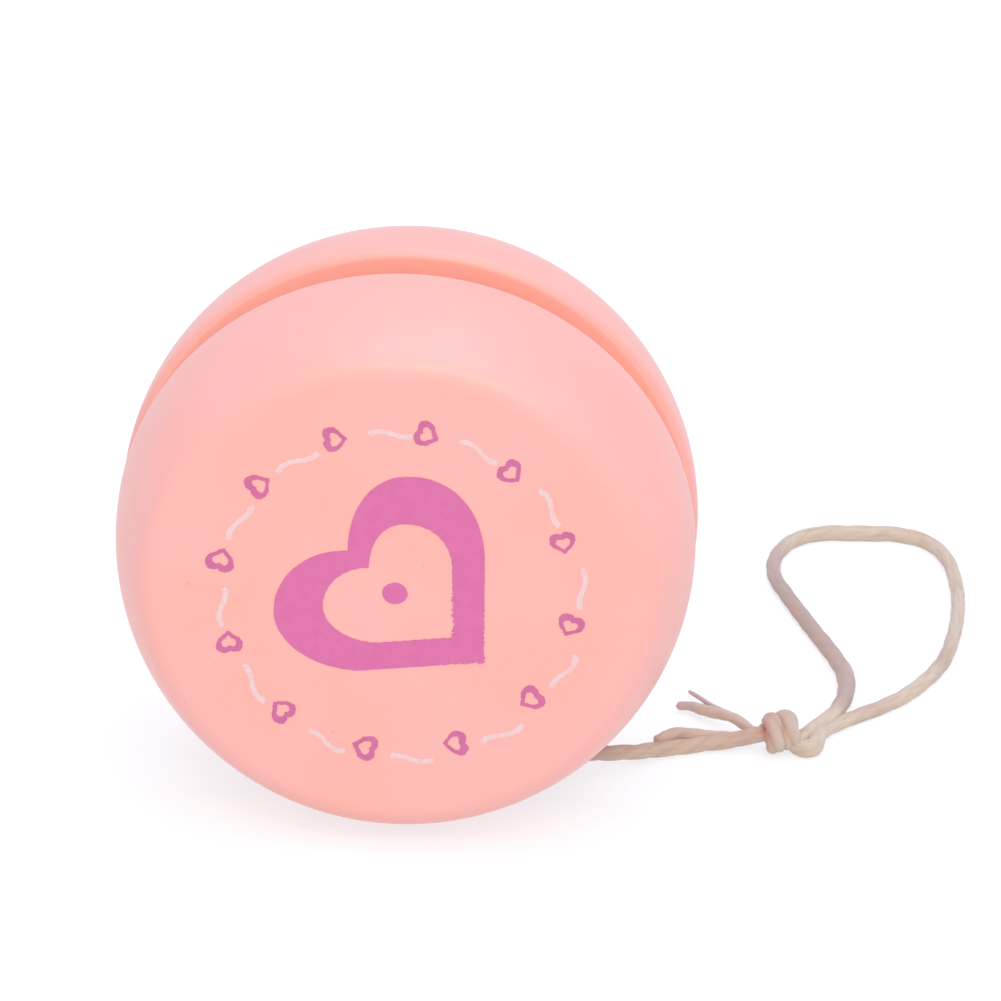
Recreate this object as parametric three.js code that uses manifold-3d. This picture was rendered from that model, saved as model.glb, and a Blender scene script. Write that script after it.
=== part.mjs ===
// Small wooden yo-yo: two turned halves on a glued dowel axle, and a cotton string that is wound in the
// groove between them and ends in a knotted finger loop on the table.
// Millimetres, +Z up. The axle lies along Y, the printed face looks towards -Y, and the yo-yo stands on
// its two rims at Z = 0 with the axle above the origin.
import * as THREE from "three";
import { mergeVertices } from "three/addons/utils/BufferGeometryUtils.js";
import Module from "manifold-3d";

const wasm = await Module();
wasm.setup();

// Driving dimensions of the yo-yo
const RIM_DIAMETER = 47; // across the flats of the turned rim
const OVERALL_WIDTH = 27; // from face to face
const GROOVE_WIDTH_AT_RIM = 3.8;
const GROOVE_WIDTH_AT_AXLE = 3; // the groove's walls open out a little towards the rim
const RIM_EDGE_RADIUS = 0.8; // rounding between the groove's wall and the rim
const CROWN_RADIUS = 20; // profile of the shoulder, from the rim towards the face
const FACE_EDGE_RADIUS = 2.4; // soft corner between the shoulder and the flat face
const AXLE_DIAMETER = 6;
const BORE_DEPTH = 9; // blind bore in each half, from the groove's wall
const FIT_GAP = 0.3; // left between neighbouring pieces

// Driving dimensions of the string
const STRING_DIAMETER = 1.2;
const WINDING_DIAMETER = 24.4; // outside of the wound string
const KNOT_CENTRE = [30.7, 7.8, 1.9];
const KNOT_HALF_SIZE = [1.55, 1.75, 1.9];
const KNOT_LOBE_CENTRE = [32.9, 7.2, 0.72]; // the second, smaller turn of the knot
const KNOT_LOBE_HALF_SIZE = [1.25, 0.95, 0.72];

// Resolution of the faceted solids
const RIM_SIDES = 36;
const CROWN_STEPS = 7;
const FACE_EDGE_STEPS = 5;
const RIM_EDGE_STEPS = 3;
const STRING_SIDES = 8;
const STRING_STEP = 2.5 * STRING_DIAMETER;
const KNOT_SIDES = 16;
const KNOT_RINGS = 10;

const RIM_RADIUS = RIM_DIAMETER / 2;
const AXLE_HEIGHT = RIM_RADIUS;
const FLAT_TO_CORNER = 1 / Math.cos(Math.PI / RIM_SIDES);

// Where the string runs on the table, from the groove to the knot, by hand: [x, y, z]
const LEAD_ROUTE = [
  [0, 0, 10.2], [4, 0, 7.95], [8, 0.15, 5.65], [12, 0.6, 3.5], [14, 1.35, 2.6], [16.4, 2.95, 1.8],
  [19, 4.75, 1.1], [20.6, 5.85, 0.8], [22.7, 6.8, 0.65], [24.8, 7.6, 0.7], [27, 7.85, 0.98], [28.7, 8, 1.42],
];

// The finger loop, from the upper side of the knot round to its lower side, which passes under the start
const LOOP_ROUTE = [
  [33.15, 8.75, 1.85], [34.2, 9.75, 1.95], [35, 11, 1.98], [35.6, 13.4, 1.6], [36, 16.1, 1.15],
  [36.24, 18.6, 0.75], [35.95, 21.6, 0.64], [35.05, 24.6, 0.62], [32.93, 30.1, 0.62], [30.65, 36.3, 0.62],
  [29.7, 39.2, 0.62], [29.46, 41.8, 0.62], [29.78, 44, 0.62], [31.03, 46.7, 0.62], [33.2, 48.3, 0.62],
  [36.8, 48.72, 0.62], [40.3, 48.75, 0.62], [42.7, 47.5, 0.62], [44.38, 44.55, 0.62], [45.3, 39.4, 0.62],
  [45.48, 34.4, 0.62], [45.14, 29.6, 0.62], [44.08, 23.9, 0.62], [41.3, 18.15, 0.62], [39, 15.45, 0.62],
  [37.07, 13.7, 0.62], [35.9, 12.3, 0.62], [34.8, 10.9, 0.62], [34.15, 9.7, 0.62], [33.75, 8.6, 0.62],
];

// The short tail that frays behind the lead
const TAIL_ROUTE = [
  [28.6, 9.45, 1.8], [27.6, 10.2, 1.6], [26.55, 11.4, 1.35], [25.5, 12.35, 1.1], [24.35, 13.35, 0.85],
  [23.3, 14.2, 0.68], [22.3, 14.6, 0.62],
];

const rosePaint = new THREE.MeshStandardMaterial({ color: "#feb9b4", roughness: 0.45, metalness: 0 });
const bareDowel = new THREE.MeshStandardMaterial({ color: "#d9b98c", roughness: 0.8, metalness: 0 });
const cotton = new THREE.MeshStandardMaterial({ color: "#d4b9a8", roughness: 1, metalness: 0 });

// Points of an arc in the (radius, distance along the axle) plane, both ends included
function arc(centreR, centreY, radius, from, to, steps) {
  return Array.from({ length: steps + 1 }, (_, i) => {
    const angle = from + ((to - from) * i) / steps;
    return new THREE.Vector2(centreR + radius * Math.cos(angle), centreY + radius * Math.sin(angle));
  });
}

// Outline of the back half, from the centre of the groove's wall round to the centre of the face
function halfOutline() {
  const boreRadius = AXLE_DIAMETER / 2 + FIT_GAP;
  const wallAtAxle = GROOVE_WIDTH_AT_AXLE / 2;
  const wallAtRim = GROOVE_WIDTH_AT_RIM / 2;
  const face = OVERALL_WIDTH / 2;
  const crownStart = wallAtRim + RIM_EDGE_RADIUS;
  const crownCentre = RIM_RADIUS - CROWN_RADIUS;
  // The face's corner rolls inside the crown and touches both it and the flat face
  const cornerY = face - FACE_EDGE_RADIUS;
  const reach = CROWN_RADIUS - FACE_EDGE_RADIUS;
  const cornerR = crownCentre + Math.sqrt(reach ** 2 - (cornerY - crownStart) ** 2);
  const crownEnd = Math.atan2(cornerY - crownStart, cornerR - crownCentre);
  return [
    new THREE.Vector2(0, wallAtAxle + BORE_DEPTH),
    new THREE.Vector2(boreRadius, wallAtAxle + BORE_DEPTH),
    new THREE.Vector2(boreRadius, wallAtAxle),
    ...arc(RIM_RADIUS - RIM_EDGE_RADIUS, crownStart, RIM_EDGE_RADIUS, -Math.PI / 2, 0, RIM_EDGE_STEPS),
    ...arc(crownCentre, crownStart, CROWN_RADIUS, 0, crownEnd, CROWN_STEPS).slice(1),
    ...arc(cornerR, cornerY, FACE_EDGE_RADIUS, crownEnd, Math.PI / 2, FACE_EDGE_STEPS).slice(1),
    new THREE.Vector2(0, face),
  ];
}

// A solid of revolution about the axle whose flats, not its corners, are at the outline's radius
function turned(outline, sides) {
  const cornered = outline.map((p) => new THREE.Vector2(p.x * FLAT_TO_CORNER, p.y));
  return new THREE.LatheGeometry(cornered, sides, Math.PI / sides);
}

function axleGeometry() {
  const radius = AXLE_DIAMETER / 2;
  const halfLength = GROOVE_WIDTH_AT_AXLE / 2 + BORE_DEPTH - FIT_GAP;
  const outline = [[0, -halfLength], [radius, -halfLength], [radius, halfLength], [0, halfLength]];
  return turned(outline.map(([r, y]) => new THREE.Vector2(r, y)), RIM_SIDES);
}

// The outer shape of the wound string: a flat ring that fills the groove's floor
function windingGeometry() {
  const inner = AXLE_DIAMETER / 2 + FIT_GAP;
  const outer = WINDING_DIAMETER / 2;
  const half = GROOVE_WIDTH_AT_AXLE / 2 - FIT_GAP;
  const outline = [[inner, -half], [outer, -half], [outer, half], [inner, half], [inner, -half]];
  return turned(outline.map(([r, y]) => new THREE.Vector2(r, y)), RIM_SIDES);
}

// A round tube along a smooth curve through the route's points
function tubeGeometry(route, diameter) {
  const path = new THREE.CatmullRomCurve3(route.map((p) => new THREE.Vector3(...p)), false, "centripetal");
  const section = new THREE.Shape().absarc(0, 0, diameter / 2, 0, 2 * Math.PI);
  return new THREE.ExtrudeGeometry(section, {
    steps: Math.ceil(path.getLength() / STRING_STEP),
    curveSegments: STRING_SIDES / 2, // a full circle gets two sides for each of these
    extrudePath: path,
  });
}

function ellipsoid(centre, halfSize) {
  return new THREE.SphereGeometry(1, KNOT_SIDES, KNOT_RINGS)
    .scale(...halfSize)
    .translate(...centre);
}

function asSolid(geometry) {
  geometry.deleteAttribute("normal");
  geometry.deleteAttribute("uv");
  const merged = mergeVertices(geometry);
  return new wasm.Manifold(
    new wasm.Mesh({
      numProp: 3,
      vertProperties: merged.attributes.position.array,
      triVerts: new Uint32Array(merged.index.array),
    }),
  );
}

function asGeometry(solid) {
  const mesh = solid.getMesh();
  const geometry = new THREE.BufferGeometry();
  geometry.setAttribute("position", new THREE.BufferAttribute(mesh.vertProperties, 3));
  geometry.setIndex(new THREE.BufferAttribute(mesh.triVerts, 1));
  geometry.computeVertexNormals();
  return geometry;
}

// Two lobes joined: the knot's round body and its last turn
function knotGeometry() {
  const body = asSolid(ellipsoid(KNOT_CENTRE, KNOT_HALF_SIZE));
  const lobe = asSolid(ellipsoid(KNOT_LOBE_CENTRE, KNOT_LOBE_HALF_SIZE));
  return asGeometry(body.add(lobe));
}

function named(name, geometry, material) {
  const mesh = new THREE.Mesh(geometry, material);
  mesh.name = name;
  return mesh;
}

// The wooden yo-yo, built about the middle of its axle
function woodenYoyo() {
  const group = new THREE.Group();
  const backHalf = named("back_half", turned(halfOutline(), RIM_SIDES), rosePaint);
  const frontHalf = named("front_half", turned(halfOutline(), RIM_SIDES), rosePaint);
  frontHalf.rotation.z = Math.PI;
  group.add(frontHalf, backHalf, named("axle_dowel", axleGeometry(), bareDowel));
  group.position.z = AXLE_HEIGHT;
  return group;
}

function cottonString() {
  const group = new THREE.Group();
  const winding = named("string_winding", windingGeometry(), cotton);
  winding.position.z = AXLE_HEIGHT;
  group.add(
    winding,
    named("string_lead", tubeGeometry(LEAD_ROUTE, STRING_DIAMETER), cotton),
    named("loop_knot", knotGeometry(), cotton),
    named("finger_loop", tubeGeometry(LOOP_ROUTE, STRING_DIAMETER), cotton),
    named("frayed_tail", tubeGeometry(TAIL_ROUTE, STRING_DIAMETER), cotton),
  );
  return group;
}

const yoyo = new THREE.Group();
yoyo.add(woodenYoyo(), cottonString());

export default yoyo;
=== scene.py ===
import math
import random

import bpy
import numpy as np
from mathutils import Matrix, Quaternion, Vector
from mathutils.geometry import tessellate_polygon


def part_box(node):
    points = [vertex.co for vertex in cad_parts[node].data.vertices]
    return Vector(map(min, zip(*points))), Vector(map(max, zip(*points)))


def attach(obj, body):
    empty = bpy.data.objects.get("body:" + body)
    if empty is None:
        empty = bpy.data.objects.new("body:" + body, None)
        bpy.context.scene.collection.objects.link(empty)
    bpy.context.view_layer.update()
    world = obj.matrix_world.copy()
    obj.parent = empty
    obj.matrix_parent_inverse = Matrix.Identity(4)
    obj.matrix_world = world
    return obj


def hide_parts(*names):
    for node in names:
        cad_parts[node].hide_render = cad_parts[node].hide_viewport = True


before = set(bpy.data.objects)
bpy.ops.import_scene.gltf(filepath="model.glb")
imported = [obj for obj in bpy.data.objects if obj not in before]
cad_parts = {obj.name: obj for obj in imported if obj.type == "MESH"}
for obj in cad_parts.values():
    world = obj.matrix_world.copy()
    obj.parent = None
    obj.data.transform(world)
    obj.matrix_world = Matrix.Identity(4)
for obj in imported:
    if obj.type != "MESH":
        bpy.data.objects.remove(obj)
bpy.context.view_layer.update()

MM = 0.001

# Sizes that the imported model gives
AXLE_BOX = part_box("axle_dowel")
BACK_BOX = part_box("back_half")
WINDING_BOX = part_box("string_winding")
AXLE_CENTRE = (AXLE_BOX[0] + AXLE_BOX[1]) / 2
AXLE_RADIUS = (AXLE_BOX[1].x - AXLE_BOX[0].x) / 2
AXLE_HALF_LENGTH = (AXLE_BOX[1].y - AXLE_BOX[0].y) / 2
RIM_RADIUS = (BACK_BOX[1].z - BACK_BOX[0].z) / 2
FACE = BACK_BOX[1].y  # from the middle of the groove to the flat face
WALL_AT_AXLE = BACK_BOX[0].y

# Sizes of the turning that the boxes don't hold
WALL_AT_RIM = 1.9 * MM  # from the middle of the groove to its wall, out at the rim
RIM_EDGE_RADIUS = 0.8 * MM
CROWN_RADIUS = 20 * MM
FACE_EDGE_RADIUS = 2.4 * MM
BORE_DEPTH = 9 * MM
FIT_GAP = 0.3 * MM
TURNED_SIDES = 192

# The string
STRING_DIAMETER = 1.2 * MM
LAYERS = 8
TURNS_PER_LAYER = 2
POINTS_PER_TURN = 24
PLIES = 3
PLY_PITCH = -7.6 * MM  # length in which the plies go once round, minus for the way they turn
TURN_CHANGE = 0.24  # share of a turn in which the string moves over to its next place
WOUND_CLEARANCE = 0.14 * MM  # kept inside the wound string's outer size
WOUND_WAVE = 0.07 * MM  # how far the wound string strays sideways


# ---------------------------------------------------------------- camera

CAMERA_DISTANCE = 0.7
CAMERA_AZIMUTH = math.radians(3.2)
CAMERA_ELEVATION = math.radians(25.97)
CAMERA_ROLL = math.radians(1.198)
CAMERA_AIM = AXLE_CENTRE + Vector((7.5, 0, 2.5)) * MM
CAMERA_LENS = 309.6


def make_camera():
    camera = placed_in_scene("camera", bpy.data.cameras.new("camera"))
    bpy.context.scene.camera = camera
    level = math.cos(CAMERA_ELEVATION)
    sideways = math.sin(CAMERA_AZIMUTH) * level
    forward = math.cos(CAMERA_AZIMUTH) * level
    towards_camera = Vector((sideways, -forward, math.sin(CAMERA_ELEVATION)))
    camera.location = AXLE_CENTRE + towards_camera * CAMERA_DISTANCE
    aimed = (CAMERA_AIM - camera.location).to_track_quat("-Z", "Y")
    camera.rotation_mode = "QUATERNION"
    camera.rotation_quaternion = aimed @ Quaternion((0, 0, 1), CAMERA_ROLL)
    camera.data.lens = CAMERA_LENS
    camera.data.clip_start = 0.05
    camera.data.clip_end = 50


# ---------------------------------------------------------------- mesh helpers

SHARP_FROM = math.radians(35)  # edges that turn more than this are drawn sharp


def placed_in_scene(name, data):
    """A new object that holds the mesh, the lamp or the camera."""
    obj = bpy.data.objects.new(name, data)
    bpy.context.scene.collection.objects.link(obj)
    return obj


def piece(name, points, faces, material, smooth=True):
    """A mesh object from points in metres and faces of point numbers."""
    mesh = bpy.data.meshes.new(name)
    mesh.from_pydata([tuple(p) for p in points], [], faces)
    mesh.validate()
    mesh.materials.append(material)
    if smooth:
        mesh.shade_smooth()
        mesh.set_sharp_from_angle(angle=SHARP_FROM)
    else:
        mesh.shade_flat()
    return placed_in_scene(name, mesh)


def arc(centre, radii, start, end, steps, fullness=2.0):
    """Points of an ellipse's arc, both ends included, angles in degrees. More fullness squares it off."""
    angles = np.radians(np.linspace(start, end, steps + 1))
    c, s = np.cos(angles), np.sin(angles)
    out = (np.abs(c) ** fullness + np.abs(s) ** fullness) ** (-1 / fullness)
    return np.stack([centre[0] + radii[0] * out * c, centre[1] + radii[1] * out * s], axis=1)


def smooth_route(points, step):
    """Points about step apart on the centripetal Catmull-Rom curve through the given ones."""
    p = np.asarray(points, float)
    p = np.concatenate([[2 * p[0] - p[1]], p, [2 * p[-1] - p[-2]]])
    dense = []
    for a, b, c, d in zip(p[:-3], p[1:-2], p[2:-1], p[3:]):
        t0 = 0.0
        t1 = t0 + math.sqrt(np.linalg.norm(b - a))
        t2 = t1 + math.sqrt(np.linalg.norm(c - b))
        t3 = t2 + math.sqrt(np.linalg.norm(d - c))
        count = max(4, math.ceil(4 * np.linalg.norm(c - b) / step))
        t = np.linspace(t1, t2, count, endpoint=False)[:, None]
        ab = a * (t1 - t) / (t1 - t0) + b * (t - t0) / (t1 - t0)
        bc = b * (t2 - t) / (t2 - t1) + c * (t - t1) / (t2 - t1)
        cd = c * (t3 - t) / (t3 - t2) + d * (t - t2) / (t3 - t2)
        abc = ab * (t2 - t) / (t2 - t0) + bc * (t - t0) / (t2 - t0)
        bcd = bc * (t3 - t) / (t3 - t1) + cd * (t - t1) / (t3 - t1)
        dense.append(abc * (t2 - t) / (t2 - t1) + bcd * (t - t1) / (t2 - t1))
    line = np.concatenate(dense + [[p[-2]]])
    return evenly(line, step)


def distances(line):
    """How far along the line each of its points is."""
    return np.concatenate([[0], np.cumsum(np.linalg.norm(np.diff(line, axis=0), axis=1))])


def evenly(line, step):
    along = distances(line)
    at = np.linspace(0, along[-1], max(2, math.ceil(along[-1] / step)) + 1)
    return np.stack([np.interp(at, along, line[:, k]) for k in range(3)], axis=1)


def carried_frames(line):
    """Tangents and side vectors along a line, the sides carried on without a twist of their own."""
    tangents = np.gradient(line, axis=0)
    tangents /= np.linalg.norm(tangents, axis=1)[:, None]
    side = np.cross(tangents[0], (0.31, 0.2, 0.93))
    sides = []
    for tangent in tangents:
        side = side - tangent * (side @ tangent)
        side /= np.linalg.norm(side)
        sides.append(side)
    sides = np.array(sides)
    return tangents, sides, np.cross(tangents, sides)


def slow_noise(at, wave, seed):
    """Smooth seeded noise between about -1 and 1 for places along a line."""
    draw = random.Random(seed)
    total = np.zeros_like(at)
    for octave in range(3):
        share = 0.6 ** octave
        length = wave * (0.8 + 0.4 * draw.random()) * 0.55 ** octave
        total += share * np.sin(2 * math.pi * at / length + draw.uniform(0, 2 * math.pi))
    return total / 1.96  # what the three shares come to


TIP_REACH = 0.3  # how far a strand's tips stand out, as a share of its radius there


def strand(line, radii, sides, groove, pitch, lobes=PLIES):
    """Points, faces and corner coordinates of a closed tube whose section has lobes that turn every pitch.

    radii and groove hold one value for each point of the line.
    """
    tangents, across, up = carried_frames(line)
    along = distances(line)
    turn = np.linspace(0, 2 * math.pi, sides, endpoint=False)
    crest = np.abs(np.cos(turn * lobes / 2))
    points = []
    for i, centre in enumerate(line):
        angle = turn + 2 * math.pi * along[i] / pitch
        radius = radii[i] * (1 - groove[i] * (1 - crest ** 2) ** 2)
        ring = across[i] * (radius * np.cos(angle))[:, None] + up[i] * (radius * np.sin(angle))[:, None]
        points.extend(centre + ring)
    last = len(line) - 1
    first_tip = len(points)
    points.append(line[0] - tangents[0] * radii[0] * TIP_REACH)
    points.append(line[last] + tangents[last] * radii[last] * TIP_REACH)
    faces = []
    corners = []
    for i in range(last):
        for j in range(sides):
            k = (j + 1) % sides
            faces.append((i * sides + j, i * sides + k, (i + 1) * sides + k, (i + 1) * sides + j))
            low, high = j / sides, (j + 1) / sides
            corners += [(low, along[i]), (high, along[i]), (high, along[i + 1]), (low, along[i + 1])]
    for j in range(sides):
        k = (j + 1) % sides
        low, high = j / sides, (j + 1) / sides
        faces.append((first_tip, k, j))
        corners += [(low, along[0]), (high, along[0]), (low, along[0])]
        faces.append((first_tip + 1, last * sides + j, last * sides + k))
        corners += [(low, along[last]), (low, along[last]), (high, along[last])]
    return points, faces, corners


def rounded_ends(along, nose_length):
    """Shares of a tube's radius that close it in a round nose at each end."""
    shares = np.ones_like(along)
    for from_end in (along, along[-1] - along):
        nose = np.clip(from_end / nose_length, 0, 1)
        shares *= np.sqrt(np.clip(1 - (1 - nose) ** 2, 0.02, 1))
    return shares


def fibre_piece(name, parts, material):
    """One mesh from several strands, with each corner's place round and along its strand."""
    points, faces, corners = [], [], []
    for part_points, part_faces, part_corners in parts:
        start = len(points)
        points.extend(part_points)
        faces.extend(tuple(n + start for n in face) for face in part_faces)
        corners.extend(part_corners)
    mesh = bpy.data.meshes.new(name)
    mesh.from_pydata([tuple(p) for p in points], [], faces)
    layer = mesh.uv_layers.new(name="along_strand")
    layer.data.foreach_set("uv", np.array(corners, np.float32).ravel())
    mesh.materials.append(material)
    mesh.shade_smooth()
    return placed_in_scene(name, mesh)


# ---------------------------------------------------------------- finishes

class Wire:
    """A shader value in a sum: each operator adds the Math node that it stands for."""

    def __init__(self, finish, socket):
        self.finish = finish
        self.socket = socket

    def __add__(self, other):
        return self.finish.maths("ADD", self, other)

    def __radd__(self, other):
        return self.finish.maths("ADD", other, self)

    def __sub__(self, other):
        return self.finish.maths("SUBTRACT", self, other)

    def __rsub__(self, other):
        return self.finish.maths("SUBTRACT", other, self)

    def __mul__(self, other):
        return self.finish.maths("MULTIPLY", self, other)

    def __rmul__(self, other):
        return self.finish.maths("MULTIPLY", other, self)

    def __truediv__(self, other):
        return self.finish.maths("DIVIDE", self, other)

    def __rtruediv__(self, other):
        return self.finish.maths("DIVIDE", other, self)

    def __pow__(self, other):
        return self.finish.maths("POWER", self, other)

    def __abs__(self):
        return self.finish.maths("ABSOLUTE", self)


class Finish:
    """A material whose nodes are added one at a time, with its fixed values set on the shader itself."""

    def __init__(self, name, fixed):
        self.material = bpy.data.materials.new(name)
        self.material.use_nodes = True
        self.tree = self.material.node_tree
        self.shader = self.tree.nodes["Principled BSDF"]
        for socket, value in fixed.items():
            self.shader.inputs[socket].default_value = value

    def add(self, kind, settings=None, inputs=None, output=0):
        """Adds a node: its settings first, then the values or links of its sockets."""
        node = self.tree.nodes.new("ShaderNode" + kind)
        for name, value in (settings or {}).items():
            setattr(node, name, value)
        for key, value in (inputs or {}).items():
            if isinstance(value, Wire):
                self.tree.links.new(value.socket, node.inputs[key])
            else:
                node.inputs[key].default_value = value
        return Wire(self, node.outputs[output])

    def maths(self, operation, *values):
        return self.add("Math", {"operation": operation}, dict(enumerate(values)))

    def sine(self, value):
        return self.maths("SINE", value)

    def cosine(self, value):
        return self.maths("COSINE", value)

    def position(self):
        """The place on the object, in millimetres."""
        place = self.add("TexCoord", output="Object")
        return self.add("VectorMath", {"operation": "SCALE"}, {0: place, "Scale": 1 / MM})

    def parts(self, vector):
        split = self.add("SeparateXYZ", inputs={0: vector}).socket.node
        return [Wire(self, output) for output in split.outputs]

    def vector(self, x, y, z):
        return self.add("CombineXYZ", inputs={0: x, 1: y, 2: z})

    def stretched(self, vector, factors):
        return self.add("VectorMath", {"operation": "MULTIPLY"}, {0: vector, 1: factors})

    def apart(self, vector, spot):
        return self.add("VectorMath", {"operation": "DISTANCE"}, {0: vector, 1: spot}, output="Value")

    def noise(self, vector, scale, detail=2.0, roughness=0.5):
        values = {"Vector": vector, "Scale": scale, "Detail": detail, "Roughness": roughness}
        return self.add("TexNoise", inputs=values)

    def cells(self, vector, scale, output="Distance"):
        return self.add("TexVoronoi", inputs={"Vector": vector, "Scale": scale}, output=output)

    def step(self, value, low, high, start=0.0, end=1.0):
        """Goes smoothly from start to end while the value goes from low to high."""
        values = {"Value": value, "From Min": low, "From Max": high, "To Min": start, "To Max": end}
        return self.add("MapRange", {"interpolation_type": "SMOOTHSTEP"}, values)

    def mixed(self, share, first, second):
        """Two colours mixed, by 0 for the first to 1 for the second."""
        return self.add("Mix", {"data_type": "RGBA"}, {0: share, 6: first, 7: second}, output=2)

    def bumps(self, height, strength, depth):
        """Raises the surface by up to depth, in metres, where the height is 1."""
        values = {"Height": height, "Strength": strength, "Distance": depth}
        self.connect("Normal", self.add("Bump", inputs=values))

    def connect(self, socket, wire):
        self.tree.links.new(wire.socket, self.shader.inputs[socket])


def tint(red, green, blue):
    """A shader colour from the 0-255 values that a screen shows."""
    def linear(v):
        v = v / 255
        return v / 12.92 if v <= 0.04045 else ((v + 0.055) / 1.055) ** 2.4
    return linear(red), linear(green), linear(blue), 1.0


ROSE = tint(228, 165, 156)
ROSE_WARM = tint(228, 163, 153)
ROSE_COOL = tint(227, 166, 162)
ROSE_SPECK = tint(201, 140, 119)
# painted light: the paint inside the groove is drawn lighter, standing in for light that the deep groove gets
# too little of
ROSE_GROOVE_PAINTED_LIGHT = tint(243, 177, 164)
ROSE_WORN = tint(228, 177, 171)
COTTON_CREAM = tint(192, 178, 162)
COTTON_PINK = tint(176, 155, 147)
COTTON_PALE = tint(200, 190, 180)
COTTON_GREY = tint(162, 144, 138)
COTTON_TAN = tint(184, 147, 122)
COTTON_FRAYED = tint(200, 176, 166)  # where the plies have come apart
DYE = tint(190, 110, 104)
DYED_SPOT = (29.6, 7.0, 2.3)  # where the knot has picked up a little dye
TABLE_GLOW = (0.98, 1, 1.03, 1)
TABLE_GLOW_STRENGTH = 0.66


def rose_coat(finish):
    """The painted ground: where a place on it is, its colour, its mottle and its specks."""
    place = finish.position()
    cloud = finish.noise(place, 0.09, 3)
    mottle = finish.noise(place, 0.9, 4, 0.6)
    colour = finish.mixed(finish.step(cloud + 0.25 * mottle, 0.45, 0.8), ROSE_WARM, ROSE_COOL)
    colour = finish.mixed(finish.step(mottle, 0.3, 0.75) * 0.5, colour, ROSE)
    speck_size = finish.parts(finish.cells(place, 0.42, output="Color"))[0]
    speck = finish.step(finish.cells(place, 0.42) + 0.1 * (1 - speck_size), 0.035, 0.075, 1.0, 0.0)
    colour = finish.mixed(speck * 0.55, colour, ROSE_SPECK)
    return place, colour, mottle, speck


def rose_paint():
    """Satin rose paint on turned wood: grain that shows through, faint lathe rings, specks and worn edges,
    with painted light inside the groove.
    """
    finish = Finish("rose_paint", {"Specular IOR Level": 0.55, "IOR": 1.46})
    place, colour, mottle, speck = rose_coat(finish)
    x, y, z = finish.parts(place)
    height = z - AXLE_CENTRE.z / MM
    radius = (x * x + height * height) ** 0.5
    # painted light: inside the groove the paint is drawn lighter, for light that the lamps put into it too
    # little
    groove_painted_light = finish.step(abs(y), WALL_AT_RIM / MM, WALL_AT_RIM / MM + 0.15, 1.0, 0.0)
    colour = finish.mixed(groove_painted_light, colour, ROSE_GROOVE_PAINTED_LIGHT)
    edge = finish.step(radius, RIM_RADIUS / MM - 0.35, RIM_RADIUS / MM - 0.02)
    worn = edge * finish.step(finish.noise(place, 0.7, 5, 0.65), 0.52, 0.68)
    finish.connect("Base Color", finish.mixed(worn * 0.25, colour, ROSE_WORN))
    finish.connect("Roughness", 0.34 + 0.10 * mottle + 0.12 * worn)
    grain = finish.noise(finish.stretched(place, (0.16, 0.5, 2.6)), 1.0, 4, 0.6)
    pore = finish.step(finish.noise(finish.stretched(place, (0.5, 1.0, 5.0)), 1.0, 2, 0.5), 0.66, 0.74)
    rings = finish.sine(radius * 14 + 3 * finish.noise(place, 0.3))
    peel = finish.noise(place, 2.2, 3, 0.55)
    relief = 0.45 * grain + 0.5 * peel + 0.05 * rings - 0.25 * pore - 0.5 * speck
    finish.bumps(relief, 0.35, 0.02 * MM)
    return finish.material


def purple_ink(name, dense, even):
    """Pad-printed ink: one even film, a little thinner in places."""
    finish = Finish(name, {"Specular IOR Level": 0.35})
    place = finish.position()
    thin = finish.noise(place, 0.8, 4, 0.65)
    fine = finish.noise(place, 5.0, 3, 0.6)
    colour = finish.mixed(finish.step(thin, 0.35, 0.7), dense, even)
    colour = finish.mixed(finish.step(fine, 0.62, 0.75) * 0.3, colour, tint(208, 122, 159))
    finish.connect("Base Color", colour)
    finish.connect("Roughness", 0.42 + 0.12 * fine)
    finish.bumps(0.6 * fine + 0.4 * thin, 0.3, 0.01 * MM)
    return finish.material


def white_ink():
    """Off-white ink that covers badly, so that the rose shows through in patches."""
    finish = Finish("white_ink", {"Specular IOR Level": 0.35})
    place = finish.position()
    patches = finish.noise(place, 1.9, 4, 0.7)
    fine = finish.noise(place, 6.0, 3, 0.6)
    bare = finish.step(0.7 * patches + 0.3 * fine, 0.44, 0.62)
    finish.connect("Base Color", finish.mixed(bare * 0.75, tint(213, 190, 193), tint(226, 169, 164)))
    finish.connect("Roughness", 0.45 + 0.15 * fine)
    finish.bumps(patches, 0.3, 0.012 * MM)
    return finish.material


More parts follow.
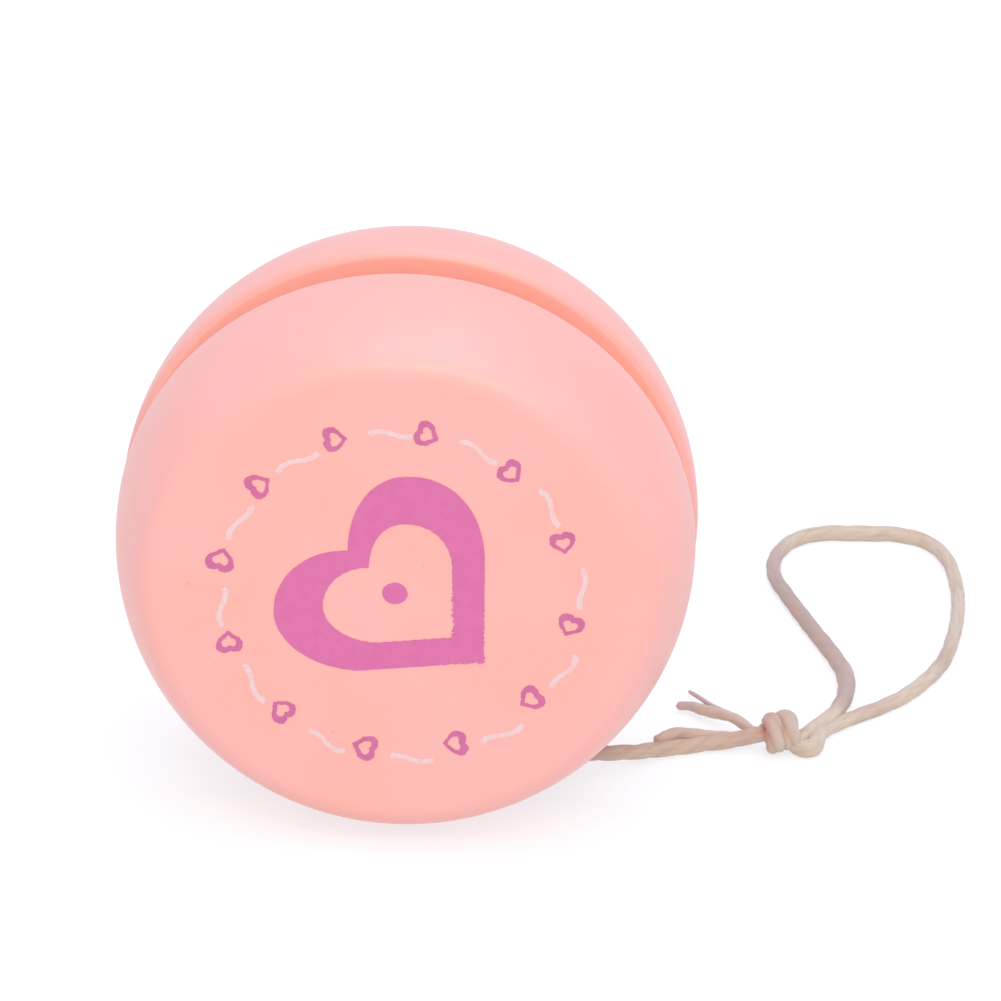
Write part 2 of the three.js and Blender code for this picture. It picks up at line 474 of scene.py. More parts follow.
def cotton(name, frayed):
    """Unbleached twisted cotton, uneven, with painted shade a little darker between the plies. Frayed, it is
    pinker.
    """
    fixed = {"Roughness": 0.9, "Specular IOR Level": 0.15, "Sheen Weight": 0.2, "Sheen Roughness": 0.5}
    finish = Finish(name, fixed)
    around, along = finish.parts(finish.add("UVMap", {"uv_map": "along_strand"}))[:2]
    along = along / MM
    turn = (around + along * (MM / PLY_PITCH)) * (2 * math.pi)
    circle = finish.cosine(turn), finish.sine(turn)
    fibre = finish.noise(finish.vector(*circle, along * 0.09), 9.0, 4, 0.65)
    coarse = finish.noise(finish.vector(*circle, along * 0.16), 2.4, 3, 0.55)
    streak = finish.noise(finish.vector(*circle, along * 0.3 + 17), 1.3, 3, 0.5)
    place = finish.position()
    x, y = finish.parts(place)[:2]
    cloud = finish.noise(place, 0.11, 3)
    # the side of the loop that leaves the knot, on the left, is drawn greyer and pinker
    left_side_tone = finish.step(x, 39, 35) * finish.step(y, 11, 17) * finish.step(y, 44, 34)
    far_end = finish.step(y, 44.5, 47.5)
    # the knot's ply creases get the deepest painted shade
    in_knot = finish.step(finish.apart(place, tuple(KNOT_CENTRE)), 1.7, 2.6, 1.0, 0.0)
    on_lead = finish.step(x, 30, 26) * finish.step(y, 9, 8)
    crest = abs(finish.cosine(around * (math.pi * PLIES)))
    groove = finish.step(crest, 0.0, 0.6, 1.0, 0.0)
    pinkish = finish.step(cloud + 0.3 * left_side_tone - 0.25 * far_end, 0.42, 0.72)
    colour = finish.mixed(pinkish, COTTON_CREAM, COTTON_PINK)
    colour = finish.mixed(finish.step(fibre, 0.42, 0.7) * 0.3, colour, COTTON_PALE)
    colour = finish.mixed(finish.step(coarse + 0.12 * left_side_tone, 0.48, 0.74) * 0.45, colour, COTTON_GREY)
    colour = finish.mixed(left_side_tone * 0.4, colour, COTTON_GREY)
    colour = finish.mixed(finish.step(streak, 0.5, 0.68) * 0.36, colour, COTTON_TAN)
    colour = finish.mixed(on_lead * 0.22, colour, COTTON_TAN)
    # painted shade: the creases between the plies are drawn darker tan, most in the knot and more along the
    # lead
    painted_crease_shade = 0.05 + 0.16 * finish.step(coarse, 0.35, 0.6) + 0.5 * in_knot + 0.25 * on_lead
    colour = finish.mixed(groove * painted_crease_shade, colour, COTTON_TAN)
    colour = finish.mixed(finish.step(finish.apart(place, DYED_SPOT), 0.3, 1.1, 0.5, 0.0), colour, DYE)
    finish.connect("Base Color", finish.mixed(frayed, colour, COTTON_FRAYED))
    finish.bumps(0.6 * fibre + 0.4 * coarse, 0.6, 0.05 * MM)
    return finish.material


def dowel_wood():
    """Bare sanded wood with its grain along the axle."""
    finish = Finish("bare_wood", {"Specular IOR Level": 0.25})
    place = finish.position()
    grain = finish.noise(finish.stretched(place, (2.2, 0.12, 2.2)), 1.0, 5, 0.6)
    pores = finish.step(finish.noise(finish.stretched(place, (9, 0.5, 9)), 1.0, 3), 0.6, 0.72)
    colour = finish.mixed(finish.step(grain, 0.3, 0.7), tint(226, 196, 150), tint(205, 168, 118))
    finish.connect("Base Color", finish.mixed(pores * 0.4, colour, tint(160, 118, 76)))
    finish.connect("Roughness", 0.7 + 0.15 * grain)
    finish.bumps(grain - 0.5 * pores, 0.4, 0.03 * MM)
    return finish.material


def pale_floor():
    """A white table that glows a little, as one lit from behind does, so that shadows stay faint."""
    finish = Finish("pale_floor", {
        "Specular IOR Level": 0.1, "Roughness": 0.9,
        "Emission Color": TABLE_GLOW, "Emission Strength": TABLE_GLOW_STRENGTH,
    })
    cloud = finish.noise(finish.position(), 0.004, 2)
    finish.connect("Base Color", finish.mixed(cloud, tint(156, 156, 157), tint(160, 159, 159)))
    return finish.material


# ---------------------------------------------------------------- the string

# From the groove to the knot, the way it lies on the table
LEAD_ROUTE = [
    (0, 0, 10.2), (4, 0, 7.95), (8, 0.15, 5.65), (12, 0.6, 3.5), (14, 1.35, 2.6), (16.4, 2.95, 1.8),
    (19, 4.75, 1.1), (20.6, 5.85, 0.8), (22.7, 6.8, 0.65), (24.8, 7.6, 0.7), (27, 7.85, 0.98),
    (28.7, 8, 1.42),
]

# Straight through the knot, to the finger loop's first point
KNOT_CORE = [(29.9, 7.9, 1.65), (30.9, 7.7, 1.55), (31.6, 7.35, 1.45)]

# The finger loop, from the upper side of the knot round to its lower side, which lies against the start
LOOP_ROUTE = [
    (32.2, 7.5, 1.45), (32.85, 8.4, 1.36), (33.48, 9.5, 1.3), (34.18, 10.9, 1.25), (35, 12.48, 1.15),
    (35.68, 14.8, 0.98), (36.08, 17.05, 0.82), (36.17, 19.35, 0.72), (35.95, 21.6, 0.64), (35.05, 24.6, 0.62),
    (32.93, 30.1, 0.62), (30.65, 36.3, 0.62), (29.7, 39.2, 0.62), (29.46, 41.8, 0.62), (29.78, 44, 0.62),
    (31.03, 46.7, 0.62), (33.2, 48.3, 0.62), (36.8, 48.72, 0.62), (40.3, 48.75, 0.62), (42.7, 47.5, 0.62),
    (44.38, 44.55, 0.62), (45.3, 39.4, 0.62), (45.48, 34.4, 0.62), (45.14, 29.6, 0.62), (44.08, 23.9, 0.62),
    (41.3, 18.15, 0.62), (39, 15.45, 0.62), (37.07, 13.7, 0.62), (36.37, 13.0, 0.64), (35.6, 12.15, 0.68),
    (34.85, 11.2, 0.74),
]

# How full the string is along the free end, from the loop's start to the string's end: (share, factor)
LOOP_FULLNESS = [
    (0, 1.12), (0.08, 1.12), (0.12, 1.27), (0.16, 1.15), (0.22, 1.09), (0.28, 1.03), (0.33, 1), (0.38, 1.06),
    (0.43, 1.15), (0.48, 1.06), (0.52, 0.98), (0.62, 0.98), (0.72, 1.04), (0.82, 1), (1, 1),
]

# The small lobe below the knot, where the loop's second side turns back into it
LOBE_ROUTE = [(34.2, 10.0, 0.86), (33.78, 8.85, 0.94), (33.5, 7.4, 0.86), (32.9, 7.2, 0.88)]

# The wraps of the knot go one and a half times round a line through it, so that two show side by side
KNOT_CENTRE = Vector((30.82, 7.95, 1.92))
KNOT_AXIS = Vector((4, 1.1, 0.45)).normalized()
KNOT_WRAP_SPACING = 1.26
KNOT_WRAP_RADIUS = 1.02
KNOT_FIRST_ANGLE = -60
KNOT_LAST_ANGLE = 475
KNOT_POINTS = 20
KNOT_CHANGE_FROM = 0.22  # a wrap moves over to the next one from this share of its turn
KNOT_CHANGE_SHARE = 0.56  # and takes this share of the turn for it
KNOT_WRAP_WAVE = 0.05  # share by which a wrap strays from round
KNOT_STRAND_RADIUS = 0.87 * MM  # the string is wider here than where it lies free

# From the knot to where the plies come apart
TAIL_ROUTE = [(29.9, 8.6, 1.8), (29.4, 8.5, 1.6), (28.9, 8.6, 1.5)]

VISIBLE_STEP = 0.3 * MM
WOUND_STEP = 0.7 * MM
STRING_SIDES = 24
CREST_RADIUS = 0.625 * MM  # out to the top of a ply
THIN_LEAD = 0.95  # the lead's share of that near the yo-yo
LEAD_GROOVE = 0.13  # depth between the plies, as a share of the radius
LOOP_GROOVE = 0.07
KNOT_EXTRA_GROOVE = 0.15
SWELL_IN = 1.2 * MM  # length in which the string swells where it enters the knot's wraps
SWELL_OUT = 1.6 * MM
NOSE_LENGTH = 0.5 * MM
KNOT_UNEVENNESS = 0.07  # shares by which the thickness and the grooves vary
STRING_UNEVENNESS = 0.02
GROOVE_UNEVENNESS = 0.02


def winding_route():
    """The wound string, turn by turn: pairs of turns side by side, layer on layer, out to the lead."""
    turns = LAYERS * TURNS_PER_LAYER
    outer = (WINDING_BOX[1].z - WINDING_BOX[0].z) / 2 - STRING_DIAMETER / 2 - WOUND_CLEARANCE
    inner = AXLE_RADIUS + FIT_GAP + STRING_DIAMETER / 2
    leaving_angle = math.radians(-120)
    route = []
    for i in range(turns * POINTS_PER_TURN + 1):
        turn = i / POINTS_PER_TURN
        angle = leaving_angle + 2 * math.pi * turn
        radius, sideways = 0.0, 0.0
        near = round(turn)
        ease = np.clip((turn - near) / TURN_CHANGE + 0.5, 0, 1)
        ease = ease * ease * (3 - 2 * ease)
        for k, share in ((near - 1, 1 - ease), (near, ease)):
            k = min(max(k, 0), turns - 1)
            radius += share * (inner + (outer - inner) * (k // TURNS_PER_LAYER) / (LAYERS - 1))
            sideways += share * (-1 if k % 4 in (0, 3) else 1) * STRING_DIAMETER / 2
        sideways += WOUND_WAVE * math.sin(2.7 * angle + 1.1 * near)
        route.append(AXLE_CENTRE + Vector((radius * math.cos(angle), sideways, radius * math.sin(angle))))
    return route


def knot_wraps():
    """The wraps round the knot's line, in millimetres. Each is nearly flat; they change over behind."""
    front = KNOT_AXIS.cross(Vector((0, 0, 1))).normalized()
    top = front.cross(KNOT_AXIS)
    route = []
    for i in range(KNOT_POINTS + 1):
        degrees = KNOT_FIRST_ANGLE + (KNOT_LAST_ANGLE - KNOT_FIRST_ANGLE) * i / KNOT_POINTS
        angle = math.radians(degrees)
        whole, part = divmod(degrees / 360, 1)
        ease = min(max((part - KNOT_CHANGE_FROM) / KNOT_CHANGE_SHARE, 0), 1)
        along = KNOT_WRAP_SPACING * (0.5 - whole - ease * ease * (3 - 2 * ease))
        if whole < 0:
            along = KNOT_WRAP_SPACING / 2
        out = front * math.cos(angle) + top * math.sin(angle)
        uneven = 1 + KNOT_WRAP_WAVE * math.sin(2.3 * angle + 0.6)
        route.append(KNOT_CENTRE + KNOT_AXIS * along + out * KNOT_WRAP_RADIUS * uneven)
    return route


def string_line():
    """The whole string's centreline in metres, and how far along it the wound part ends."""
    wound = winding_route()
    seen = LEAD_ROUTE + KNOT_CORE + LOOP_ROUTE + LOBE_ROUTE + [tuple(p) for p in knot_wraps()] + TAIL_ROUTE
    route = [tuple(p) for p in wound] + [tuple(Vector(p) * MM) for p in seen]
    line = smooth_route(route, 0.1 * MM)
    along = distances(line)
    lead_starts = along[np.argmin(np.linalg.norm(line - np.array(LEAD_ROUTE[0]) * MM, axis=1))]
    wound_steps = math.ceil(lead_starts / WOUND_STEP)
    seen_steps = math.ceil((along[-1] - lead_starts) / VISIBLE_STEP)
    places = np.concatenate([
        np.linspace(0, lead_starts, wound_steps, endpoint=False),
        np.linspace(lead_starts, along[-1], seen_steps + 1),
    ])
    return np.stack([np.interp(places, along, line[:, k]) for k in range(3)], axis=1), lead_starts


def make_string(material):
    line, lead_starts = string_line()
    along = distances(line)

    def place_of(point):
        return along[np.argmin(np.linalg.norm(line - np.array(point) * MM, axis=1))]

    def ramp(low, high):
        return np.clip((along - low) / (high - low), 0, 1)

    loop_starts = place_of(LOOP_ROUTE[0])
    lobe_starts = place_of(LOBE_ROUTE[1])
    wraps_end = place_of(knot_wraps()[-3])
    filling_out = ramp(place_of(LEAD_ROUTE[7]), place_of(LEAD_ROUTE[10]))
    radii = CREST_RADIUS * (THIN_LEAD + (1 - THIN_LEAD) * filling_out)
    share = np.clip((along - loop_starts) / (along[-1] - loop_starts), 0, 1)
    radii *= np.interp(share, *zip(*LOOP_FULLNESS))
    in_knot = ramp(lobe_starts - SWELL_IN, lobe_starts) * (1 - ramp(wraps_end, wraps_end + SWELL_OUT))
    radii += (KNOT_STRAND_RADIUS - radii) * in_knot * (1 + KNOT_UNEVENNESS * slow_noise(along, 1.7 * MM, 9))
    radii *= 1 + STRING_UNEVENNESS * slow_noise(along, 6 * MM, 3)
    radii *= rounded_ends(along, NOSE_LENGTH)
    on_loop = ramp(loop_starts - 2 * MM, loop_starts)
    groove = LEAD_GROOVE + (LOOP_GROOVE - LEAD_GROOVE) * on_loop + KNOT_EXTRA_GROOVE * in_knot
    groove += GROOVE_UNEVENNESS * slow_noise(along, 25 * MM, 5)
    rope = fibre_piece("cotton_string", [strand(line, radii, STRING_SIDES, groove, PLY_PITCH)], material)
    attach(rope, "string")
    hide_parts("string_winding", "string_lead", "loop_knot", "finger_loop")
    return rope, line, lead_starts


# Where the string's end has come apart: the route of each ply
THICK_PLY = [
    (29.1, 8.4, 1.55), (28.5, 8.75, 1.5), (27.8, 9.6, 1.5), (27.05, 10.6, 1.5), (26.05, 11.6, 1.35),
    (25.11, 12.35, 1.15), (24.18, 13.15, 0.95), (23.32, 14.05, 0.75), (22.5, 14.4, 0.6), (21.95, 14.45, 0.52),
]
THIN_PLY = [
    (27.4, 10.2, 1.55), (26.39, 11.4, 1.5), (25.53, 12.43, 1.45), (24.65, 13.95, 1.15), (23.77, 15.75, 0.8),
    (22.92, 17.53, 0.4),
]
LOOSE_PLY = [
    (29.1, 7.9, 1.45), (28.48, 7.95, 1.3), (27.49, 7.9, 1.0), (26.42, 8.45, 0.88), (25.26, 8.65, 0.8),
    (24.17, 8.55, 0.82), (23.25, 8.45, 0.92), (22.42, 8.4, 1.02), (21.5, 7.75, 1), (20.85, 7.25, 0.95),
    (20.35, 7.0, 0.9),
]
PLY_SIDES = 16
PLY_GROOVE = 0.12
PLY_FIBRE_PITCH = -11 * MM
PLY_FIBRE_LOBES = 4
PLY_UNEVENNESS = 0.08
PLY_NOSE_LENGTH = 0.4 * MM


def make_frayed_end(material):
    """The three plies of the untwisted tail; one of them lies against the lead."""

    def ply(route, start_radius, widest, end_radius, widest_at, seed):
        line = smooth_route(np.array(route) * MM, 0.2 * MM)
        along = distances(line)
        share = along / along[-1]
        radii = np.interp(share, (0, widest_at, 1), (start_radius, widest, end_radius)) * MM
        radii *= rounded_ends(along, PLY_NOSE_LENGTH)
        radii *= 1 + PLY_UNEVENNESS * slow_noise(along, 4 * MM, seed)
        groove = np.full_like(along, PLY_GROOVE)
        return strand(line, radii, PLY_SIDES, groove, PLY_FIBRE_PITCH, lobes=PLY_FIBRE_LOBES)

    # radii in millimetres at the start, at the widest place and at the end, and where the widest place is
    parts = [
        ply(THICK_PLY, 0.4, 0.53, 0.38, 0.6, 11),
        ply(THIN_PLY, 0.26, 0.22, 0.18, 0.5, 12),
        ply(LOOSE_PLY, 0.42, 0.68, 0.55, 0.8, 13),
    ]
    end = fibre_piece("frayed_plies", parts, material)
    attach(end, "string")
    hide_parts("frayed_tail")
    return end


STRAY_FIBRES = 48
INSIDE_GROOVE = 14 * MM  # the lead's first stretch, which the groove hides
FIBRE_LENGTHS = (0.3, 0.9)
FIBRE_RADII = (0.014, 0.007)  # root and tip
FIBRE_LOWEST = 0.03
FIBRE_ROOT = 0.42  # how far out a fibre starts, as a share of the string's diameter
POINTS_LEFT_BARE = 12  # at the string's end, where the frayed plies start


def make_stray_fibres(line, lead_starts, material):
    """Fine single fibres that stand off the string's free part."""
    draw = random.Random(7)
    along = distances(line)
    seen = np.nonzero(along > lead_starts + INSIDE_GROOVE)[0]
    parts = []
    for _ in range(STRAY_FIBRES):
        i = seen[draw.randrange(len(seen) - POINTS_LEFT_BARE)]
        tangent = line[i + 1] - line[i]
        tangent /= np.linalg.norm(tangent)
        out = np.array([draw.gauss(0, 1) for _ in range(3)])
        out -= tangent * (out @ tangent)
        out /= np.linalg.norm(out)
        out[2] = abs(out[2])
        length = draw.uniform(*FIBRE_LENGTHS) * MM
        start = line[i] + out * STRING_DIAMETER * FIBRE_ROOT
        lean = tangent * draw.choice((-1, 1)) * draw.uniform(0.5, 1.2)
        bend = np.array([draw.uniform(-0.3, 0.3) for _ in range(3)])
        middle = start + (out * 0.4 + lean * 0.5) * length * 0.5
        tip = start + (out * 0.55 + lean + bend) * length
        hair = smooth_route([start, middle, tip], length / 6)
        hair[:, 2] = np.maximum(hair[:, 2], FIBRE_LOWEST * MM)
        thickness = np.linspace(*FIBRE_RADII, len(hair)) * MM
        parts.append(strand(hair, thickness, 4, np.zeros(len(hair)), 1.0, lobes=2))
    fibres = fibre_piece("stray_fibres", parts, material)
    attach(fibres, "string")
    return fibres


# ---------------------------------------------------------------- the turned wood

def turned(name, outline, material):
    """A solid turned about the axle from its outline of (radius, distance along the axle), pole to pole."""
    points, rings, faces = [], [], []
    for radius, y in outline:
        if radius < 1e-7:
            rings.append([len(points)])
            points.append(AXLE_CENTRE + Vector((0, y, 0)))
            continue
        rings.append(list(range(len(points), len(points) + TURNED_SIDES)))
        for j in range(TURNED_SIDES):
            angle = 2 * math.pi * j / TURNED_SIDES
            points.append(AXLE_CENTRE + Vector((radius * math.cos(angle), y, radius * math.sin(angle))))
    for low, high in zip(rings[:-1], rings[1:]):
        for j in range(TURNED_SIDES):
            k = (j + 1) % TURNED_SIDES
            corners = [low[j % len(low)], low[k % len(low)], high[k % len(high)], high[j % len(high)]]
            faces.append(tuple(dict.fromkeys(corners)))
    return piece(name, points, faces, material)


def half_outline():
    """Outline of the back half, from the bottom of its bore round to the middle of its face."""
    bore = AXLE_RADIUS + FIT_GAP
    crown_start = WALL_AT_RIM + RIM_EDGE_RADIUS
    crown_centre = RIM_RADIUS - CROWN_RADIUS
    corner_y = FACE - FACE_EDGE_RADIUS
    reach = CROWN_RADIUS - FACE_EDGE_RADIUS
    corner_r = crown_centre + math.sqrt(reach ** 2 - (corner_y - crown_start) ** 2)
    crown_end = math.degrees(math.atan2(corner_y - crown_start, corner_r - crown_centre))
    edge_centre = (RIM_RADIUS - RIM_EDGE_RADIUS, crown_start)
    wall = np.linspace((bore, WALL_AT_AXLE), (edge_centre[0], WALL_AT_RIM), 12)[:-1]
    face = np.linspace((corner_r, FACE), (0, FACE), 14)[1:]
    return np.concatenate([
        [(0, WALL_AT_AXLE + BORE_DEPTH), (bore, WALL_AT_AXLE + BORE_DEPTH)],
        wall,
        arc(edge_centre, (RIM_EDGE_RADIUS, RIM_EDGE_RADIUS), -90, 0, 8),
        arc((crown_centre, crown_start), (CROWN_RADIUS, CROWN_RADIUS), 0, crown_end, 24)[1:],
        arc((corner_r, corner_y), (FACE_EDGE_RADIUS, FACE_EDGE_RADIUS), crown_end, 90, 12)[1:],
        face,
    ])


def make_wooden_body(paint, wood):
    outline = half_outline()
    back = turned("back_half_turned", outline, paint)
    front = turned("front_half_turned", (outline * (1, -1))[::-1], paint)
    chamfer = 0.4 * MM
    ends = [
        (0, -AXLE_HALF_LENGTH), (AXLE_RADIUS - chamfer, -AXLE_HALF_LENGTH),
        (AXLE_RADIUS, chamfer - AXLE_HALF_LENGTH), (AXLE_RADIUS, AXLE_HALF_LENGTH - chamfer),
        (AXLE_RADIUS - chamfer, AXLE_HALF_LENGTH), (0, AXLE_HALF_LENGTH),
    ]
    dowel = turned("axle_dowel_turned", ends, wood)
    for made, node, slot in ((back, "back_half", "rose_paint"), (front, "front_half", "rose_paint"),
                             (dowel, "axle_dowel", "bare_wood")):
        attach(made, "wooden_body")
        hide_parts(node)


# ---------------------------------------------------------------- the print on the front face

# Places on the face are (x, z) in millimetres from the middle of the axle
INK_TOP = 0.03  # how far the ink stands off the paint
INK_ROOT = 0.02  # how far it reaches into the paint
OUTLINE_STEP = 0.12

# A heart is set by its notch, the tops of its two lobes, its two widest sides and its tip
BIG_HEART = {"notch": (-4.02, 4.05), "top": (0.95, 10.8), "right": (6.95, 3.3), "tip": (7.05, -5.42),
             "bottom": (-3.0, -6.62), "left": (-9.9, -1.5)}
BIG_HEART_HOLE = {"notch": (-2.3, 2.6), "top": (0.6, 6.6), "right": (4.35, 2.65), "tip": (4.5, -3.3),
                  "bottom": (-1.6, -4.05), "left": (-5.95, -0.95)}
SMALL_HEART = {"notch": (-0.66, 0.66), "top": (0.0, 1.3), "right": (0.7, 0.4), "tip": (0.6, -0.62),
               "bottom": (-0.45, -0.72), "left": (-1.3, -0.02)}
SMALL_HEART_HOLE = {"notch": (-0.34, 0.3), "top": (0.05, 0.72), "right": (0.34, 0.28), "tip": (0.28, -0.34),
                    "bottom": (-0.33, -0.38), "left": (-0.74, -0.04)}

LOBE_FULLNESS = 2.15
DOT_CENTRE = (-0.19, 0.42)
DOT_RADII = (1.02, 0.95)
HEART_COUNT = 12
HEART_RING_CENTRE = (-0.15, 0.5)
HEART_RING_RADIUS = 14.2
FIRST_HEART_ANGLE = 110
TIP_LEAN = -100  # a small heart's tip points this far round from its own place on the ring
DASH_RING_CENTRE = (0.39, 0.05)  # the second colour was printed a little off the first
DASH_RING_RADIUS = 14.5
DASH_SPAN = 15
DASH_WAVE = 0.32
DASH_END_WIDTH = 0.6
DASH_MIDDLE_WIDTH = 0.42


def heart_outline(heart):
    """A closed outline: each lobe is two quarter ellipses, and two nearly straight sides meet at the tip."""
    notch, top, right, tip = heart["notch"], heart["top"], heart["right"], heart["tip"]
    bottom, left = heart["bottom"], heart["left"]
    steps = 24
    return np.concatenate([
        arc((top[0], notch[1]), (top[0] - notch[0], top[1] - notch[1]), 180, 90, steps, LOBE_FULLNESS),
        arc((top[0], right[1]), (right[0] - top[0], top[1] - right[1]), 90, 0, steps, LOBE_FULLNESS)[1:],
        [tip],
        arc((bottom[0], left[1]), (bottom[0] - left[0], left[1] - bottom[1]), 270, 180, steps),
        arc((notch[0], left[1]), (notch[0] - left[0], notch[1] - left[1]), 180, 90, steps)[1:-1],
    ])


def placed(outline, centre, turn):
    """The outline turned by so many degrees and moved to its centre."""
    c, s = math.cos(math.radians(turn)), math.sin(math.radians(turn))
    x, z = outline[:, 0], outline[:, 1]
    return np.stack([centre[0] + c * x - s * z, centre[1] + s * x + c * z], axis=1)


def printed_edge(outline, wobble, seed, wave=1.4, step=OUTLINE_STEP, ragged=None):
    """The closed outline with close points and a slightly uneven edge; ragged(x, z) adds torn bits."""
    closed = np.concatenate([outline, outline[:1]])
    along = distances(closed)
    count = max(24, math.ceil(along[-1] / step))
    at = np.linspace(0, along[-1], count, endpoint=False)
    points = np.stack([np.interp(at, along, closed[:, k]) for k in range(2)], axis=1)
    tangents = np.roll(points, -1, axis=0) - np.roll(points, 1, axis=0)
    tangents /= np.linalg.norm(tangents, axis=1)[:, None]
    outward = np.stack([-tangents[:, 1], tangents[:, 0]], axis=1)
    # whole numbers of waves, so that the edge meets itself
    push = np.zeros(count)
    draw = random.Random(seed)
    for share, length in ((0.6, wave), (0.3, wave * 0.4), (0.25, wave * 0.17)):
        waves = max(2, round(along[-1] / length))
        push += share * np.sin(2 * math.pi * waves * at / along[-1] + draw.uniform(0, 6.28))
        push += share * 0.6 * np.sin(2 * math.pi * (waves + 3) * at / along[-1] + draw.uniform(0, 6.28))
    push *= wobble
    if ragged:
        push += np.array([ragged(x, z) * draw.uniform(-1, 1) ** 3 for x, z in points])
    return points + outward * push[:, None]


def film(name, groups, material):
    """Closed flat prisms on the front face. Each group is an outline and any holes in it."""
    points, faces = [], []
    for group in groups:
        flat = [[Vector((x, z, 0)) for x, z in outline] for outline in group]
        triangles = tessellate_polygon(flat)
        count = sum(len(outline) for outline in flat)
        start = len(points)
        for y in (-INK_TOP, INK_ROOT):
            for outline in flat:
                points.extend(AXLE_CENTRE + Vector((p.x * MM, -FACE + y * MM, p.y * MM)) for p in outline)
        for a, b, c in triangles:
            one, two, three = (flat_point(flat, n) for n in (a, b, c))
            if (two - one).cross(three - one).z < 0:
                b, c = c, b
            faces.append((start + a, start + b, start + c))
            faces.append((start + count + a, start + count + c, start + count + b))
        first = start
        for outline in flat:
            size = len(outline)
            area = sum(p.cross(q).z for p, q in zip(outline, outline[1:] + outline[:1]))
            outer = outline is flat[0]
            for j in range(size):
                k = (j + 1) % size
                a, b = (j, k) if (area > 0) == outer else (k, j)
                faces.append((first + a, first + count + a, first + count + b, first + b))
            first += size
    return piece(name, points, faces, material, smooth=False)


def flat_point(outlines, number):
    for outline in outlines:
        if number < len(outline):
            return outline[number]
        number -= len(outline)
    raise IndexError(number)


def big_heart():
    def torn_outside(x, z):
        side = 0.2 * np.clip((-z + 1.5) / 6, 0, 1) if x > 6.4 else 0.0
        under = 0.18 * np.clip((x - 1.5) / 4, 0, 1) if z < -5 else 0.0
        return max(side, under)

    def torn_inside(x, z):
        return 0.22 * np.clip((2.5 - z) / 2, 0, 1) if x > 3.9 else 0.0

    outer = printed_edge(heart_outline(BIG_HEART), 0.012, 21, wave=2.6, step=0.08, ragged=torn_outside)
    hole = printed_edge(heart_outline(BIG_HEART_HOLE), 0.022, 22, wave=0.8, step=0.08, ragged=torn_inside)
    return [outer, hole]


def small_hearts():
    draw = random.Random(31)
    groups = []
    for k in range(HEART_COUNT):
        place = FIRST_HEART_ANGLE - 360 / HEART_COUNT * k
        angle = math.radians(place)
        centre = (HEART_RING_CENTRE[0] + HEART_RING_RADIUS * math.cos(angle),
                  HEART_RING_CENTRE[1] + HEART_RING_RADIUS * math.sin(angle))
        turn = place + TIP_LEAN + draw.uniform(-5, 5) + 45
        stretch = np.array((draw.uniform(0.94, 1.06), draw.uniform(0.94, 1.06)))
        outer = printed_edge(heart_outline(SMALL_HEART), 0.035, 40 + k, wave=1.1, step=0.06)
        hole = printed_edge(heart_outline(SMALL_HEART_HOLE), 0.03, 60 + k, wave=0.8, step=0.06)
        shift = np.array((draw.uniform(-0.05, 0.05), draw.uniform(-0.05, 0.05)))
        groups.append([placed(outer * stretch, centre, turn), placed(hole * stretch + shift, centre, turn)])
    return groups


def dashes():
    """The wavy strokes between the small hearts, each bowing out and then in as it goes clockwise."""
    draw = random.Random(51)
    groups = []
    for k in range(HEART_COUNT):
        middle = FIRST_HEART_ANGLE - 360 / HEART_COUNT * (k + 0.5) + draw.uniform(-1.2, 1.2)
        share = np.linspace(0, 1, 40)
        angle = np.radians(middle + DASH_SPAN * (0.5 - share) * draw.uniform(0.95, 1.05))
        sway = DASH_WAVE * draw.uniform(0.8, 1.1)
        radius = DASH_RING_RADIUS + sway * np.sin(2 * math.pi * (0.85 * share + 0.06))
        middle_line = np.stack([DASH_RING_CENTRE[0] + radius * np.cos(angle),
                                DASH_RING_CENTRE[1] + radius * np.sin(angle)], axis=1)
        tangents = np.gradient(middle_line, axis=0)
        tangents /= np.linalg.norm(tangents, axis=1)[:, None]
        normals = np.stack([-tangents[:, 1], tangents[:, 0]], axis=1)
        width = DASH_MIDDLE_WIDTH + (DASH_END_WIDTH - DASH_MIDDLE_WIDTH) * np.abs(2 * share - 1) ** 1.5
        width *= np.sqrt(np.clip(1 - (2 * np.abs(share - 0.5)) ** 12, 0, 1))
        side = normals * width[:, None] / 2
        outline = np.concatenate([(middle_line + side)[1:-1], (middle_line - side)[-2:0:-1]])
        groups.append([printed_edge(outline, 0.035, 80 + k, wave=0.7, step=0.07)])
    return groups


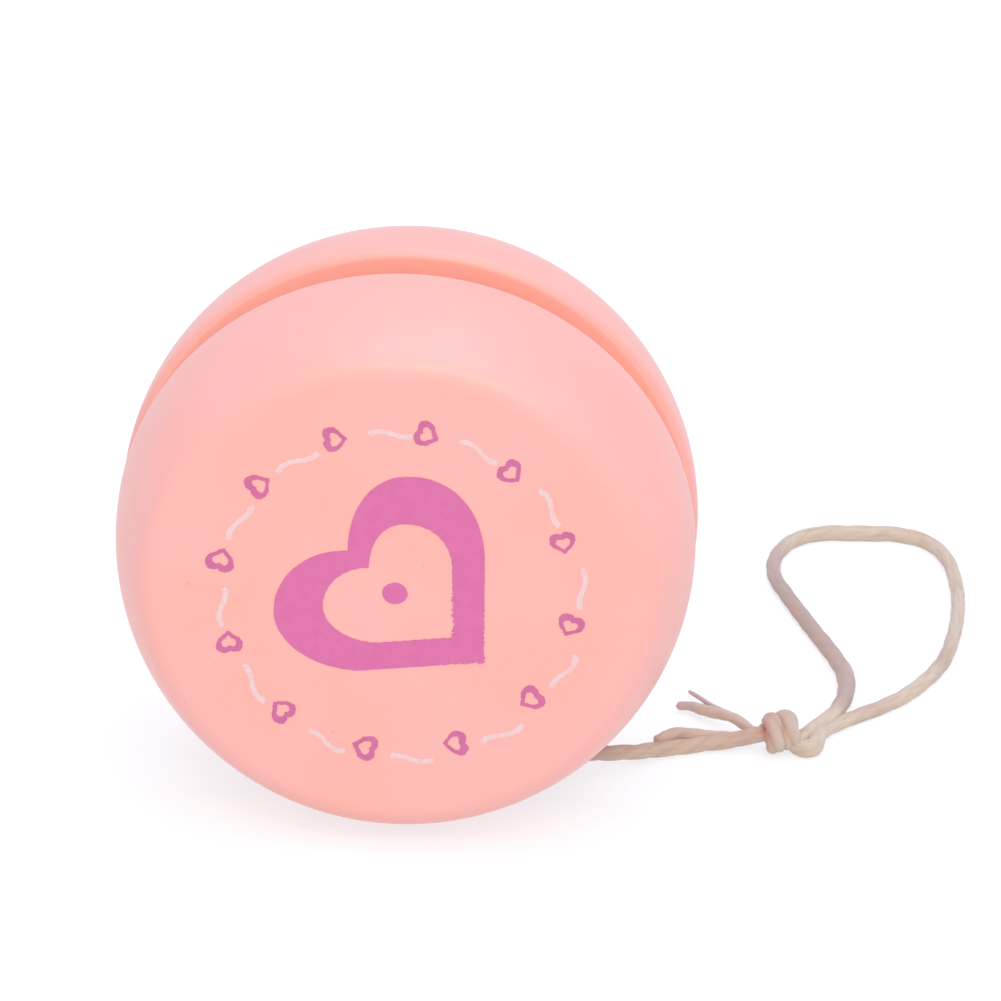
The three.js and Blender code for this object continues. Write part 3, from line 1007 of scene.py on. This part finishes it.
def make_print():
    """Two shades of purple ink and an off-white one; the small hearts' thin lines came out deeper."""
    purple = purple_ink("purple_ink", tint(195, 98, 152), tint(199, 104, 155))
    deep = purple_ink("deep_purple_ink", tint(185, 96, 142), tint(191, 101, 147))
    white = white_ink()
    dot = printed_edge(arc(DOT_CENTRE, DOT_RADII, 0, 360, 60)[:-1], 0.02, 23, step=0.08)
    for name, groups, ink in (
        ("print_big_heart", [big_heart()], purple),
        ("print_centre_dot", [[dot]], purple),
        ("print_small_hearts", small_hearts(), deep),
        ("print_dashes", dashes(), white),
    ):
        made = film(name, groups, ink)
        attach(made, "wooden_body")


# ---------------------------------------------------------------- the table and the light

FLOOR_HALF = 6.0
SKY_STRENGTH = 0.92
SKY_COLOUR = (0.94, 0.94, 1, 1)


def make_floor():
    corners = [(x * FLOOR_HALF, y * FLOOR_HALF, 0) for x, y in ((-1, -1), (1, -1), (1, 1), (-1, 1))]
    floor = piece("pale_table", corners, [(0, 1, 2, 3)], pale_floor(), smooth=False)


def softbox(name, size, place, watts, colour):
    lamp = bpy.data.lights.new(name, "AREA")
    lamp.shape = "RECTANGLE"
    lamp.size, lamp.size_y = size
    lamp.energy = watts
    lamp.color = colour
    obj = placed_in_scene(name, lamp)
    obj.location = place
    obj.rotation_mode = "QUATERNION"
    obj.rotation_quaternion = (AXLE_CENTRE - obj.location).to_track_quat("-Z", "Y")


def make_light():
    sky = bpy.data.worlds.new("studio")
    bpy.context.scene.world = sky
    sky.use_nodes = True
    background = sky.node_tree.nodes["Background"]
    background.inputs["Color"].default_value = SKY_COLOUR
    background.inputs["Strength"].default_value = SKY_STRENGTH
    softbox("top_softbox", (0.7, 0.7), Vector((0.1, 0.1, 0.9)), 2.5, (0.6, 0.86, 1.36))
    softbox("front_softbox", (0.7, 0.5), Vector((0.1, -0.62, 0.66)), 3.7, (1.2, 1, 0.76))
    bpy.context.scene.view_settings.view_transform = "Standard"
    bpy.context.scene.view_settings.look = "None"


# ---------------------------------------------------------------- assembly

make_camera()
cotton_finish = cotton("cotton_string", 0.0)
rope, rope_line, lead_starts = make_string(cotton_finish)
frayed_end = make_frayed_end(cotton("frayed_cotton", 0.6))
fibres = make_stray_fibres(rope_line, lead_starts, cotton_finish)
make_wooden_body(rose_paint(), dowel_wood())
make_print()
make_floor()
make_light()
